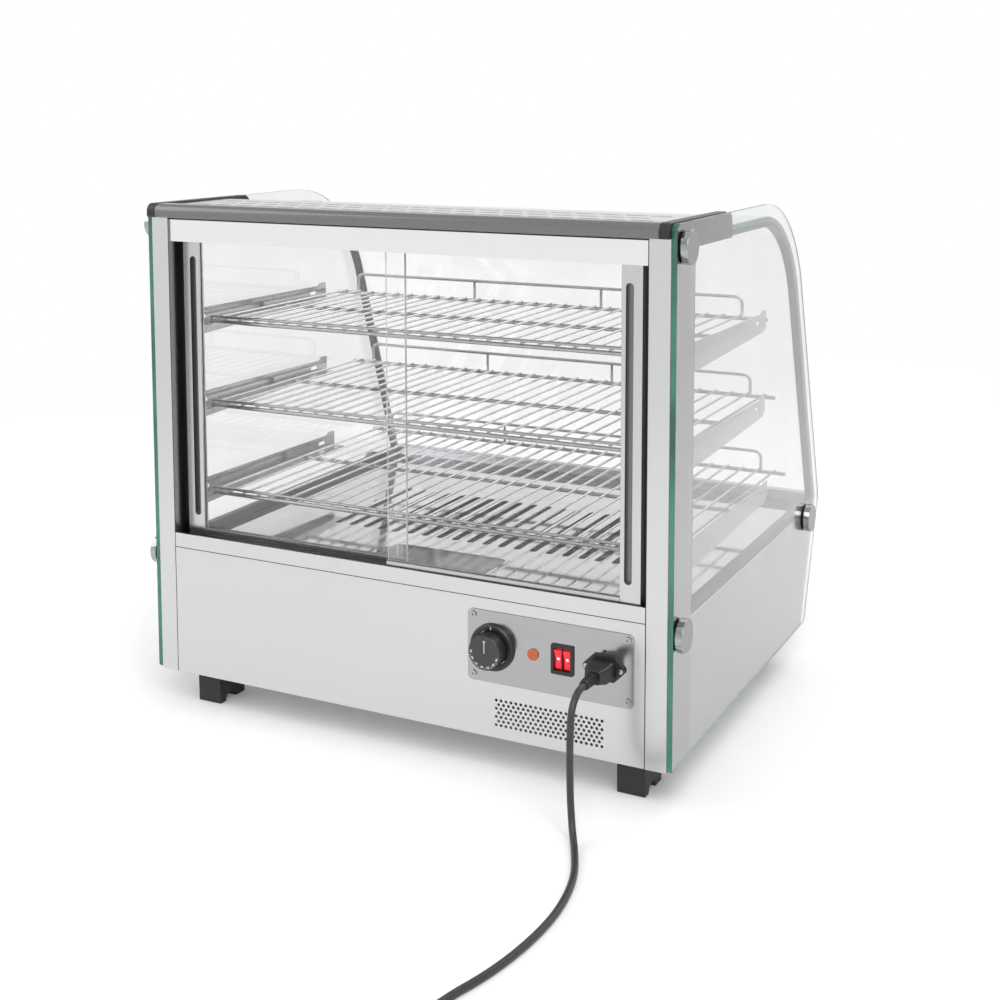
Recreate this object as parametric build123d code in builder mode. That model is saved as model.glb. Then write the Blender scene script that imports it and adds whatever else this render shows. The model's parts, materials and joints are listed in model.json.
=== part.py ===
"""Counter-top heated pastry display cabinet, in millimetres.

X runs across the cabinet, the customer's curved glass faces -Y, the operator's
doors and controls face +Y, and Z is up from the table.
"""

import math
import os

from build123d import *

os.makedirs("parts", exist_ok=True)

# Overall sizes
GLASS_OUT_X = 339.0
GLASS_T = 6.0
GLASS_IN_X = GLASS_OUT_X - GLASS_T
REAR_Y = 277.3
BASE_Z = 46.0
DECK_Z = 199.5
SEAM_Z = 204.0
BAR_TOP_Z = 604.5
POST_TOP_Z = 609.6
GLASS_TOP_Z = 625.0
SHEET = 1.5
FIT = 0.1

# Rear posts
POST_IN_X = 308.4
POST_OUT_X = GLASS_IN_X - FIT
POST_DEPTH = 60.0

# The front leans back above the deck and leans in below it
FRONT_SLOPE = 0.345
FRONT_DEPTH = 463.0
FRONT_DEPTH_Z = 501.0
BASE_SLOPE = 0.3786
BASE_DEPTH = 562.0
BASE_DEPTH_Z = 199.0
ARC_R = 154.0
FRONT_GLASS_T = 5.0
GLASS_PROUD = 13.5

# Side frame bar
BAR_W = 10.0
BAR_T = 7.0
BAR_OUT_X = 331.3

# Doors and tracks
TRACK_DEPTH = 36.0
LIP_Z = 221.8
HEADER_Z = 581.0
DOOR_W = 310.0
DOOR_OUT_X = 301.0
DOOR_T = 10.0
DOOR_LOW_Z = 209.0
DOOR_TOP_Z = 600.0
RAIL_TOP_Z = 226.5
DOOR_GLASS_T = 4.0
HANDLE_W = 24.0
DOOR_DEPTHS = {"outer": 4.3, "inner": 18.0}
DOOR_SIDES = {"outer": -1, "inner": 1}

# Shelves: wire height, the depths of the near and far wires, and where the brackets end
SHELF_LEVELS = {
    "top": (474.5, 75.0, 387.0, 360.0),
    "middle": (368.0, 75.0, 426.0, 360.0),
    "bottom": (256.0, 75.0, 479.0, 377.0),
}
SHELF_HALF = 304.0
FAR_HALF = 315.0
SHELF_PITCH = 21.7
GUARD_RISE = 27.0
BRACKET_X = 319.6

# Control plate and what is on it, as places on the rear face
PLATE_X = -197.3
PLATE_Z = 149.6
PLATE_W = 197.4
PLATE_H = 81.2
PLATE_T = 1.2
CONTROL_Z = 150.0
KNOB_X = -129.7
LAMP_X = -179.0
SWITCH_X = -214.1
INLET_X = -263.0
PLATE_SCREWS = [(x, z) for x in (-105.8, -289.6) for z in (116.6, 184.2)]

# Supply cord
CORD_D = 7.5
CORD_EXIT_Y = REAR_Y + 57.0
CORD_TOTAL = 1800.0


def at_depth(depth, height):
    """A point of a side view, given how far it lies in front of the rear face."""
    return (REAR_Y - depth, height)


def front_depth(height, proud=0.0):
    """Depth of the leaning front at a height, moved out square to it by proud."""
    return FRONT_DEPTH + FRONT_SLOPE * (FRONT_DEPTH_Z - height) + proud * math.hypot(1, FRONT_SLOPE)


def base_front(height):
    """Depth of the base's leaning front panel at a height."""
    return BASE_DEPTH + BASE_SLOPE * (height - BASE_DEPTH_Z)


def save(builder, name):
    """Label a finished sub-part and write its file."""
    builder.part.label = name
    export_step(builder.part, f"parts/{name}.step")


def outline(corners):
    """Fill a closed outline of (across, up, corner radius) in the open sketch."""
    with BuildLine() as edge:
        Polyline(*[(across, up) for across, up, _ in corners], close=True)
    make_face(edge.edges())
    for across, up, radius in corners:
        if radius:
            corner = vertices().sort_by_distance((across, up, 0))[0]
            fillet(corner, radius)


def bar_along_x(x0, x1, corners, cuts=(), mode=Mode.ADD):
    """Extrude a side view of (depth, height, corner radius) from x0 to x1 in the open part."""
    with BuildSketch(Plane.YZ.offset(x0)) as profile:
        outline([(REAR_Y - depth, height, radius) for depth, height, radius in corners])
    extrude(profile.sketch, amount=x1 - x0, mode=mode)
    for cut in cuts:
        bar_along_x(x0, x1, cut, mode=Mode.SUBTRACT)


def rect(depth0, depth1, z0, z1, radius=0.0):
    """Corners of an upright rectangle in a side view."""
    return [(depth0, z0, radius), (depth1, z0, radius), (depth1, z1, radius), (depth0, z1, radius)]


def block(x0, x1, depth0, depth1, z0, z1, mode=Mode.ADD):
    """A box given by its span, its two depths and its two heights."""
    centre = ((x0 + x1) / 2, REAR_Y - (depth0 + depth1) / 2, (z0 + z1) / 2)
    with Locations(centre):
        Box(abs(x1 - x0), abs(depth1 - depth0), abs(z1 - z0), mode=mode)


def mirrored(side, x0, x1):
    """A span on the chosen side, in rising order."""
    return (x0, x1) if side > 0 else (-x1, -x0)


def make_feet():
    """Four black feet, each with an arch notched across its underside."""
    for row, depth in (("rear", 27.0), ("front", 424.0)):
        for word, side in (("left", 1), ("right", -1)):
            x0, x1 = mirrored(side, 266.0, 299.0)
            with BuildPart() as foot:
                bar_along_x(x0, x1, [
                    (depth + 1, 0, 1.5), (depth + 12, 0, 1.5), (depth + 15, 8, 3), (depth + 30, 8, 3),
                    (depth + 33, 0, 1.5), (depth + 51, 0, 1.5), (depth + 52, BASE_Z, 0), (depth, BASE_Z, 0),
                ])
            save(foot, f"foot_{row}_{word}")


def make_base():
    """Sheet-metal base: pan, rear panel, side panels and leaning front panel."""
    low_front = base_front(BASE_Z)
    with BuildPart() as base_pan:
        block(-POST_IN_X + FIT, POST_IN_X - FIT, SHEET, 62, BASE_Z, BASE_Z + SHEET)
        block(-331.2, 331.2, POST_DEPTH + FIT, low_front - 3, BASE_Z, BASE_Z + SHEET)
    save(base_pan, "base_pan")

    with BuildPart() as rear_panel:
        block(-POST_IN_X + FIT, POST_IN_X - FIT, 0, SHEET, BASE_Z, SEAM_Z)
        block(-POST_IN_X + FIT, POST_IN_X - FIT, 0, 34, SEAM_Z - SHEET, SEAM_Z)
        with BuildSketch(Plane.XZ.offset(-REAR_Y)):
            with Locations((PLATE_X, PLATE_Z)):
                Rectangle(172, 74)
            with Locations(*PLATE_SCREWS, (INLET_X - 20, CONTROL_Z)):
                Circle(2)
            vent_holes()
        extrude(amount=SHEET, mode=Mode.SUBTRACT)
    save(rear_panel, "rear_panel")

    for word, side in (("left", 1), ("right", -1)):
        x0, x1 = mirrored(side, 331.4, 332.9)
        with BuildPart() as side_panel:
            bar_along_x(x0, x1, [
                (POST_DEPTH + FIT, BASE_Z, 0), (low_front - 2, BASE_Z, 0),
                (base_front(198) - 2, 198, 0), (POST_DEPTH + FIT, 198, 0),
            ])
        save(side_panel, f"side_panel_{word}")

    with BuildPart() as front_panel:
        bar_along_x(-332.9, 332.9, [
            (low_front - 1.9, BASE_Z, 0), (low_front, BASE_Z, 0),
            (base_front(198), 198, 0), (base_front(198) - 1.9, 198, 0),
        ])
    save(front_panel, "front_panel")


def vent_holes():
    """Seven staggered rows of round vent holes, in the open sketch."""
    for row in range(7):
        odd = row % 2
        first = -259.9 + 3.015 * odd
        places = [(first + 6.03 * n, 61.4 + 4.72 * row) for n in range(22 - odd)]
        with Locations(*places):
            Circle(1.75)


def make_deck():
    """Mirror-polished deck with its heating slots and the water tray's opening."""
    with BuildPart() as deck:
        block(-POST_IN_X + FIT, POST_IN_X - FIT, 36, 62, DECK_Z - SHEET, DECK_Z)
        block(-332.9, 332.9, POST_DEPTH + FIT, 566, DECK_Z - SHEET, DECK_Z)
        with BuildSketch(Plane.XY.offset(DECK_Z - SHEET)):
            for n in range(-9, 10):
                with Locations((21.7 * n, REAR_Y - 287)):
                    SlotOverall(194, 9.5, rotation=90)
            with Locations((0, REAR_Y - 100)):
                RectangleRounded(158, 96, 14)
        extrude(amount=SHEET, mode=Mode.SUBTRACT)
    save(deck, "deck")

    with BuildPart() as water_tray:
        with BuildSketch(Plane.XY.offset(DECK_Z)):
            with Locations((0, REAR_Y - 100)):
                RectangleRounded(166, 104, 17)
        extrude(amount=1.0)
        with BuildSketch(Plane.XY.offset(DECK_Z - 27)):
            with Locations((0, REAR_Y - 100)):
                RectangleRounded(156, 94, 13)
        extrude(amount=27.5)
        with BuildSketch(Plane.XY.offset(DECK_Z - 26)):
            with Locations((0, REAR_Y - 100)):
                RectangleRounded(154, 92, 12)
        extrude(amount=28, mode=Mode.SUBTRACT)
    save(water_tray, "water_tray")


def make_heating():
    """Tubular element under the slots, hung from the deck by two straps."""
    element_z = 184.0
    reach = 190.0
    depths = (240.0, 280.0, 320.0, 360.0)
    y = [REAR_Y - depth for depth in depths]
    with BuildPart() as heating_element:
        with BuildLine() as route:
            FilletPolyline(
                (-reach - 30, y[0], element_z), (reach, y[0], element_z), (reach, y[1], element_z),
                (-reach, y[1], element_z), (-reach, y[2], element_z), (reach, y[2], element_z),
                (reach, y[3], element_z), (-reach - 30, y[3], element_z), radius=18,
            )
        with BuildSketch(Plane(origin=route.line @ 0, z_dir=route.line % 0)):
            Circle(4)
        sweep()
    save(heating_element, "heating_element")

    with BuildPart() as heater_straps:
        for x in (-120.0, 120.0):
            block(x - 6, x + 6, 226, 374, element_z - 6, element_z - 4.3)
            for depth in (226.0, 372.3):
                block(x - 6, x + 6, depth, depth + 1.7, element_z - 6, DECK_Z - SHEET)
    save(heater_straps, "heater_straps")


def make_posts():
    """Hollow rear posts, from the base's bottom to under the bull-nose rail."""
    for word, side in (("left", 1), ("right", -1)):
        x0, x1 = mirrored(side, POST_IN_X, POST_OUT_X)
        with BuildPart() as rear_post:
            block(x0, x1, 0, POST_DEPTH, BASE_Z, POST_TOP_Z)
            fillet(rear_post.edges().filter_by(Axis.Z).group_by(Axis.Y)[-1], 1.0)
            block(x0 + SHEET, x1 - SHEET, SHEET, POST_DEPTH - SHEET, BASE_Z, POST_TOP_Z, Mode.SUBTRACT)
        save(rear_post, f"rear_post_{word}")


def make_side_frames():
    """Slim bars round the side windows: top, curved front edge and deck rail."""
    rear = POST_DEPTH + FIT
    low = DECK_Z
    for word, side in (("left", 1), ("right", -1)):
        x0, x1 = mirrored(side, BAR_OUT_X - BAR_W, BAR_OUT_X)
        with BuildPart() as side_frame:
            bar_along_x(x0, x1, [
                (rear, low, 0), (front_depth(low), low, 2),
                (front_depth(BAR_TOP_Z), BAR_TOP_Z, ARC_R), (rear, BAR_TOP_Z, 0),
            ], cuts=[[
                (rear + BAR_T, low + BAR_W, 0), (front_depth(low + BAR_W, -BAR_T), low + BAR_W, 0),
                (front_depth(BAR_TOP_Z - BAR_T, -BAR_T), BAR_TOP_Z - BAR_T, ARC_R - BAR_T),
                (rear + BAR_T, BAR_TOP_Z - BAR_T, 0),
            ]])
        save(side_frame, f"side_frame_{word}")


GLASS_KNOBS = [(22.5, 600.0), (18.5, 191.5), (513.0, 191.5)]


def side_glass_corners():
    """Side view of a side glass: straight back, round top front and a pointed belly."""
    belly_z = (
        FRONT_DEPTH + FRONT_SLOPE * FRONT_DEPTH_Z + GLASS_PROUD * math.hypot(1, FRONT_SLOPE)
        - base_front(0) - GLASS_PROUD
    ) / (FRONT_SLOPE + BASE_SLOPE)
    foot_z = BASE_Z + 0.3
    return [
        (1, foot_z, 4), (base_front(foot_z) + GLASS_PROUD, foot_z, 7),
        (front_depth(belly_z, GLASS_PROUD), belly_z, 25),
        (front_depth(GLASS_TOP_Z, GLASS_PROUD), GLASS_TOP_Z, ARC_R + 17), (1, GLASS_TOP_Z, 9),
    ]


def make_glasses():
    """Tempered side glasses, their polished knobs, and the curved front glass."""
    for word, side in (("left", 1), ("right", -1)):
        x0, x1 = mirrored(side, GLASS_IN_X, GLASS_OUT_X)
        with BuildPart() as side_glass:
            bar_along_x(x0, x1, side_glass_corners())
            with BuildSketch(Plane.YZ.offset(x0)):
                with Locations(*[at_depth(*place) for place in GLASS_KNOBS]):
                    Circle(4.5)
            extrude(amount=GLASS_T, mode=Mode.SUBTRACT)
        save(side_glass, f"side_glass_{word}")

        with BuildPart() as glass_knobs:
            for place in GLASS_KNOBS:
                for radius, start, end in ((4.0, GLASS_IN_X, GLASS_OUT_X), (16.5, GLASS_OUT_X, GLASS_OUT_X + 1.5)):
                    knob_disc(side, place, radius, start, end)
                knob_disc(side, place, 18.2, GLASS_OUT_X + 1.5, GLASS_OUT_X + 9.5)
        save(glass_knobs, f"glass_knobs_{word}")

    inner, outer = 0.3, 0.3 + FRONT_GLASS_T
    with BuildPart() as front_glass:
        bar_along_x(-BAR_OUT_X, BAR_OUT_X, [
            (128, BAR_TOP_Z + inner, 0), (128, BAR_TOP_Z + outer, 0),
            (front_depth(BAR_TOP_Z + outer, outer), BAR_TOP_Z + outer, ARC_R + outer),
            (front_depth(203.2, outer), 203.2, 0), (front_depth(203.2, inner), 203.2, 0),
            (front_depth(BAR_TOP_Z + inner, inner), BAR_TOP_Z + inner, ARC_R + inner),
        ])
    save(front_glass, "front_glass")

    with BuildPart() as front_rail:
        bar_along_x(-BAR_OUT_X + BAR_W + FIT, BAR_OUT_X - BAR_W - FIT, [
            (front_depth(DECK_Z, -8), DECK_Z, 0), (front_depth(DECK_Z, outer + 2), DECK_Z, 0),
            (front_depth(214, outer + 2), 214, 0), (front_depth(214, outer + 0.2), 214, 0),
            (front_depth(203, outer + 0.2), 203, 0), (front_depth(203, 0.1), 203, 0),
            (front_depth(214, 0.1), 214, 0), (front_depth(214, -8), 214, 1.5),
        ])
    save(front_rail, "front_rail")


def knob_disc(side, place, radius, start, end):
    """One round step of a glass knob, between two distances from the middle."""
    x0, x1 = mirrored(side, start, end)
    wire_x(x0, x1, *place, radius)


CAP_LENGTH = 185.0
CAP_IN_X = 321.8
NOSE_PROUD = 8.0
NOSE_LOW_Z = 609.7
NOSE_TOP_Z = 626.0


def make_top():
    """Slotted top plate, bull-nose rail and the two end caps."""
    plate_top = 624.0
    plate_end = 131.0
    with BuildPart() as top_plate:
        block(-CAP_IN_X + FIT, CAP_IN_X - FIT, 14, plate_end, plate_top - SHEET, plate_top)
        block(-CAP_IN_X + FIT, CAP_IN_X - FIT, plate_end - SHEET, plate_end, 610, plate_top)
        block(-CAP_IN_X + FIT, CAP_IN_X - FIT, 14, 14 + SHEET, 610, plate_top)
        with BuildSketch(Plane.XY.offset(plate_top - SHEET)):
            for row, depth in enumerate((40.0, 70.0, 100.0)):
                first = -285.0 + 15.0 * (row % 2)
                places = [(first + 30.0 * n, REAR_Y - depth) for n in range(20 - row % 2)]
                with Locations(*places):
                    SlotOverall(25, 5)
        extrude(amount=SHEET, mode=Mode.SUBTRACT)
    save(top_plate, "top_plate")

    with BuildPart() as bull_nose:
        bar_along_x(-CAP_IN_X, CAP_IN_X, [
            (-NOSE_PROUD, NOSE_LOW_Z, 3), (13.9, NOSE_LOW_Z, 0), (13.9, NOSE_TOP_Z, 1), (-NOSE_PROUD, NOSE_TOP_Z, 9),
        ], cuts=[[(-5.5, 612.2, 1), (11.4, 612.2, 0), (11.4, 623.5, 0), (-5.5, 623.5, 6)]])
    save(bull_nose, "bull_nose")

    for word, side in (("left", 1), ("right", -1)):
        x0, x1 = mirrored(side, CAP_IN_X + FIT, POST_OUT_X)
        s0, s1 = mirrored(side, BAR_OUT_X + FIT, POST_OUT_X)
        with BuildPart() as end_cap:
            bar_along_x(x0, x1, [
                (-NOSE_PROUD - 1, NOSE_LOW_Z, 3), (CAP_LENGTH, 610, 0),
                (CAP_LENGTH, NOSE_TOP_Z, 12), (-NOSE_PROUD - 1, NOSE_TOP_Z + 0.6, 9.5),
            ])
            bar_along_x(s0, s1, rect(POST_DEPTH + 1, CAP_LENGTH, 596, 612))
        save(end_cap, f"end_cap_{word}")


def make_tracks():
    """Header and sill, each with two channels in which the doors run."""
    x = POST_IN_X - FIT
    with BuildPart() as header:
        block(-x, x, 2, TRACK_DEPTH, POST_TOP_Z - SHEET, POST_TOP_Z)
        block(-x, x, 2, 3.2, HEADER_Z, POST_TOP_Z)
        block(-x, x, 15.6, 16.8, 588, POST_TOP_Z)
        block(-x, x, TRACK_DEPTH - 1.2, TRACK_DEPTH, HEADER_Z + 4, POST_TOP_Z)
    save(header, "header")

    with BuildPart() as sill:
        block(-x, x, 0, TRACK_DEPTH, SEAM_Z, SEAM_Z + SHEET)
        block(-x, x, 0, SHEET, SEAM_Z, LIP_Z)
        block(-x, x, 15.6, 16.8, SEAM_Z, 213)
        block(-x, x, TRACK_DEPTH - SHEET, TRACK_DEPTH, SEAM_Z, 216)
        for depth in DOOR_DEPTHS.values():
            bead = depth + DOOR_T / 2
            block(-x, x, bead - 1, bead + 1, SEAM_Z, 207.5)
    save(sill, "sill")


def make_door(name):
    """One sliding door: glass, handle profile, bottom rail and its two rollers."""
    side = DOOR_SIDES[name]
    depth = DOOR_DEPTHS[name]
    middle = depth + DOOR_T / 2
    handle = mirrored(side, DOOR_OUT_X - HANDLE_W, DOOR_OUT_X)
    pane = mirrored(side, DOOR_OUT_X - DOOR_W, DOOR_OUT_X - HANDLE_W + 3)
    rail = mirrored(side, DOOR_OUT_X - DOOR_W, DOOR_OUT_X - HANDLE_W)
    glass_depths = (middle - DOOR_GLASS_T / 2, middle + DOOR_GLASS_T / 2)
    glass_low = RAIL_TOP_Z - 6

    with BuildPart() as door_glass:
        block(*pane, *glass_depths, glass_low, DOOR_TOP_Z - 2)
    save(door_glass, f"door_{name}_glass")

    with BuildPart() as door_handle:
        block(*handle, depth, depth + DOOR_T, DOOR_LOW_Z, DOOR_TOP_Z)
        fillet(door_handle.edges().filter_by(Axis.Z), 1.0)
        block(*pane, *glass_depths, DOOR_LOW_Z, DOOR_TOP_Z, Mode.SUBTRACT)
        with BuildSketch(Plane.XZ.offset(depth - REAR_Y)):
            with Locations((side * (DOOR_OUT_X - 14.5), 402)):
                SlotOverall(320, 8.6, rotation=90)
        extrude(amount=5, mode=Mode.SUBTRACT)
    save(door_handle, f"door_{name}_handle")

    rollers = [side * (DOOR_OUT_X - HANDLE_W - 30), side * (DOOR_OUT_X - DOOR_W + 30)]
    with BuildPart() as door_rail:
        block(*rail, depth, depth + DOOR_T, DOOR_LOW_Z, RAIL_TOP_Z)
        block(*rail, *glass_depths, glass_low, RAIL_TOP_Z, Mode.SUBTRACT)
        for x in rollers:
            block(x - 7, x + 7, middle - 2.6, middle + 2.6, DOOR_LOW_Z, 219.2, Mode.SUBTRACT)
            turned(x, middle - 4, middle + 4, 1.4, 213, Mode.SUBTRACT)
    save(door_rail, f"door_{name}_rail")

    with BuildPart() as door_rollers:
        for x in rollers:
            turned(x, middle - 2.3, middle + 2.3, 5.2, 213)
            turned(x, middle - 4, middle + 4, 1.4, 213)
    save(door_rollers, f"door_{name}_rollers")


def turned(x, depth0, depth1, radius, height, mode=Mode.ADD):
    """A cylinder whose axis runs front to back."""
    with BuildSketch(Plane.XZ.offset(depth0 - REAR_Y)) as profile:
        with Locations((x, height)):
            Circle(radius)
    extrude(profile.sketch, amount=depth1 - depth0, mode=mode)


def wire_x(x0, x1, depth, height, radius, mode=Mode.ADD):
    """A straight wire, or a straight hole, across the cabinet."""
    with BuildSketch(Plane.YZ.offset(x0)) as profile:
        with Locations(at_depth(depth, height)):
            Circle(radius)
    extrude(profile.sketch, amount=x1 - x0, mode=mode)


def wire_y(x, depth0, depth1, height, radius):
    """A straight wire from back to front."""
    turned(x, depth0, depth1, radius, height)


def make_shelves():
    """Chromed wire shelves, each with a guard rail, and their sheet brackets."""
    for name, (level, near, far, bracket_end) in SHELF_LEVELS.items():
        wires = int(2 * SHELF_HALF / SHELF_PITCH)
        with BuildPart() as shelf:
            wire_x(-SHELF_HALF, SHELF_HALF, near, level, 2.5)
            wire_x(-FAR_HALF, FAR_HALF, far, level, 2.5)
            wire_x(-SHELF_HALF + 1, SHELF_HALF - 1, (near + far) / 2, level, 2.5)
            wire_x(-SHELF_HALF + 1, SHELF_HALF - 1, near, level + 6.2, 1.8)
            for n in range(wires + 1):
                x = -SHELF_HALF + 3 + n * (2 * SHELF_HALF - 6) / wires
                wire_y(x, near - 1, far + 1, level + 3.2, 1.5)
            guard_rail(far, level)
        save(shelf, f"shelf_{name}")
        for word, side in (("left", 1), ("right", -1)):
            make_bracket(name, word, side, level, bracket_end)


def guard_rail(depth, level):
    """Raised rail over a shelf's far wire, with rounded ends and two posts."""
    half = SHELF_HALF - 22
    top = level + GUARD_RISE
    with BuildLine() as route:
        y = REAR_Y - depth
        FilletPolyline((-half, y, level), (-half, y, top), (half, y, top), (half, y, level), radius=9)
    with BuildSketch(Plane(origin=route.line @ 0, z_dir=route.line % 0)) as section:
        Circle(2)
    sweep(section.sketch, path=route.line)
    for x in (-94.0, 94.0):
        with BuildSketch(Plane.XY.offset(level)) as post:
            with Locations((x, REAR_Y - depth)):
                Circle(1.8)
        extrude(post.sketch, amount=GUARD_RISE)


def make_bracket(name, word, side, level, end):
    """Tapered sheet bracket hooked on the post, with an inner flange under the shelf."""
    x0, x1 = mirrored(side, BRACKET_X, BRACKET_X + SHEET)
    f0, f1 = mirrored(side, SHELF_HALF - 4, BRACKET_X + SHEET)
    shelf_low = level - 2.5
    rear = POST_DEPTH + FIT
    with BuildPart() as bracket:
        bar_along_x(x0, x1, [
            (rear, shelf_low - 16, 0), (end - 8, shelf_low - 7, 0), (end, shelf_low - 2, 2),
            (end, shelf_low + 19, 2), (end - 14, shelf_low + 19, 2), (end - 18, shelf_low + 15.5, 0),
            (rear, shelf_low + 18, 0),
        ], cuts=[rect(rear + 10, rear + 26, shelf_low + 4, shelf_low + 9, 1.5),
                 rect(end - 40, end - 24, shelf_low + 4, shelf_low + 9, 1.5)])
        bar_along_x(f0, f1, rect(rear + 6, end - 6, shelf_low - SHEET, shelf_low))
    save(bracket, f"bracket_{name}_{word}")


def make_control_plate():
    """Control plate with its openings, its four screws and the inlet's two."""
    with BuildPart() as control_plate:
        with BuildSketch(Plane.XZ.offset(-REAR_Y - PLATE_T)):
            with Locations((PLATE_X, PLATE_Z)):
                RectangleRounded(PLATE_W, PLATE_H, 6)
            with Locations((KNOB_X, CONTROL_Z)):
                Circle(4, mode=Mode.SUBTRACT)
            with Locations((LAMP_X, CONTROL_Z)):
                Circle(5.5, mode=Mode.SUBTRACT)
            with Locations((SWITCH_X, CONTROL_Z)):
                Rectangle(22.2, 30.2, mode=Mode.SUBTRACT)
            with Locations((INLET_X, CONTROL_Z)):
                Rectangle(28, 21, mode=Mode.SUBTRACT)
            with Locations(*PLATE_SCREWS, (INLET_X - 20, CONTROL_Z), (INLET_X + 20, CONTROL_Z)):
                Circle(1.8, mode=Mode.SUBTRACT)
            with Locations((INLET_X, CONTROL_Z - 18), (INLET_X, CONTROL_Z + 18)):
                Circle(1.5, mode=Mode.SUBTRACT)
        extrude(amount=PLATE_T)
    save(control_plate, "control_plate")

    with BuildPart() as panel_screws:
        for x, z in PLATE_SCREWS:
            turned(x, -PLATE_T - 2, -PLATE_T, 3.5, z)
            turned(x, -PLATE_T, 6, 1.55, z)
            for turn in (0, 90):
                with BuildSketch(Plane.XZ.offset(-REAR_Y - PLATE_T - 2)):
                    with Locations((x, z)):
                        Rectangle(3.6, 0.9, rotation=turn)
                extrude(amount=1.2, mode=Mode.SUBTRACT)
        for x in (INLET_X - 20, INLET_X + 20):
            turned(x, -PLATE_T - 4.6, -PLATE_T - 3.5, 2.8, CONTROL_Z)
            turned(x, -PLATE_T - 3.5, 5, 1.75, CONTROL_Z)
    save(panel_screws, "panel_screws")


def make_thermostat():
    """Thermostat: body behind the plate, fixed bezel ring and turning knob."""
    with BuildPart() as thermostat_body:
        block(KNOB_X - 17, KNOB_X + 17, 0, 28, CONTROL_Z - 17, CONTROL_Z + 17)
        turned(KNOB_X, -0.1, 20, 3.05, CONTROL_Z, Mode.SUBTRACT)
    save(thermostat_body, "thermostat_body")

    with BuildPart() as knob_bezel:
        turned(KNOB_X, -PLATE_T - 5, -PLATE_T, 26.5, CONTROL_Z)
        chamfer(knob_bezel.faces().sort_by(Axis.Y)[-1].edges(), 2.0)
        turned(KNOB_X, -PLATE_T - 5, -PLATE_T, 20.6, CONTROL_Z, Mode.SUBTRACT)
    save(knob_bezel, "knob_bezel")

    with BuildPart() as thermostat_knob:
        turned(KNOB_X, -22.5, -PLATE_T - 0.6, 19.6, CONTROL_Z)
        chamfer(thermostat_knob.faces().sort_by(Axis.Y)[-1].edges(), 1.0)
        turned(KNOB_X, -PLATE_T - 1, 19.5, 3.0, CONTROL_Z)
        with BuildSketch(Plane.XZ.offset(-REAR_Y - 22.5)):
            with Locations((KNOB_X, CONTROL_Z + 7)):
                Rectangle(0.9, 14)
        extrude(amount=0.4, mode=Mode.SUBTRACT)
    save(thermostat_knob, "thermostat_knob")


def make_lamp_and_switch():
    """Pilot lamp, and the double rocker switch."""
    with BuildPart() as pilot_lamp:
        turned(LAMP_X, -PLATE_T - 2.5, -PLATE_T, 6.6, CONTROL_Z)
        fillet(pilot_lamp.faces().sort_by(Axis.Y)[-1].edges(), 1.6)
        turned(LAMP_X, -PLATE_T, 22, 5.2, CONTROL_Z)
    save(pilot_lamp, "pilot_lamp")

    wells = [SWITCH_X - 5.2, SWITCH_X + 5.2]
    half = 4.6
    with BuildPart() as switch_housing:
        block(SWITCH_X - 13.2, SWITCH_X + 13.2, -PLATE_T - 2.4, -PLATE_T, CONTROL_Z - 16.6, CONTROL_Z + 16.6)
        fillet(switch_housing.edges().filter_by(Axis.Y), 1.5)
        block(SWITCH_X - 11, SWITCH_X + 11, -PLATE_T, 24, CONTROL_Z - 15, CONTROL_Z + 15)
        for x in wells:
            block(x - half, x + half, -PLATE_T - 2.4, 13, CONTROL_Z - 12.6, CONTROL_Z + 12.6, Mode.SUBTRACT)
        wire_x(SWITCH_X - 11, SWITCH_X + 11, 3.0, CONTROL_Z, 1.3, Mode.SUBTRACT)
    save(switch_housing, "switch_housing")

    for word, x in (("left", wells[1]), ("right", wells[0])):
        with BuildPart() as rocker:
            with BuildSketch(Plane.YZ.offset(x - half + 0.3)):
                outline(rocker_corners())
            extrude(amount=2 * half - 0.6)
            wire_x(x - half - 0.45, x + half + 0.45, 3.0, CONTROL_Z, 1.2)
        save(rocker, f"rocker_{word}")


ROCKER_TILT = math.radians(9)


def rocker_corners():
    """Side view of a rocker, tipped about its pivot with its lower half pressed in."""
    shape = [(-5, -9, 1), (4.5, -11.4, 0.5), (3.4, 0, 0), (4.5, 11.4, 0.5), (-5, 9, 1)]
    pivot_y, pivot_z = at_depth(3.0, CONTROL_Z)
    turn_cos, turn_sin = math.cos(ROCKER_TILT), math.sin(ROCKER_TILT)
    return [
        (pivot_y + out * turn_cos + up * turn_sin, pivot_z - out * turn_sin + up * turn_cos, radius)
        for out, up, radius in shape
    ]


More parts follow.
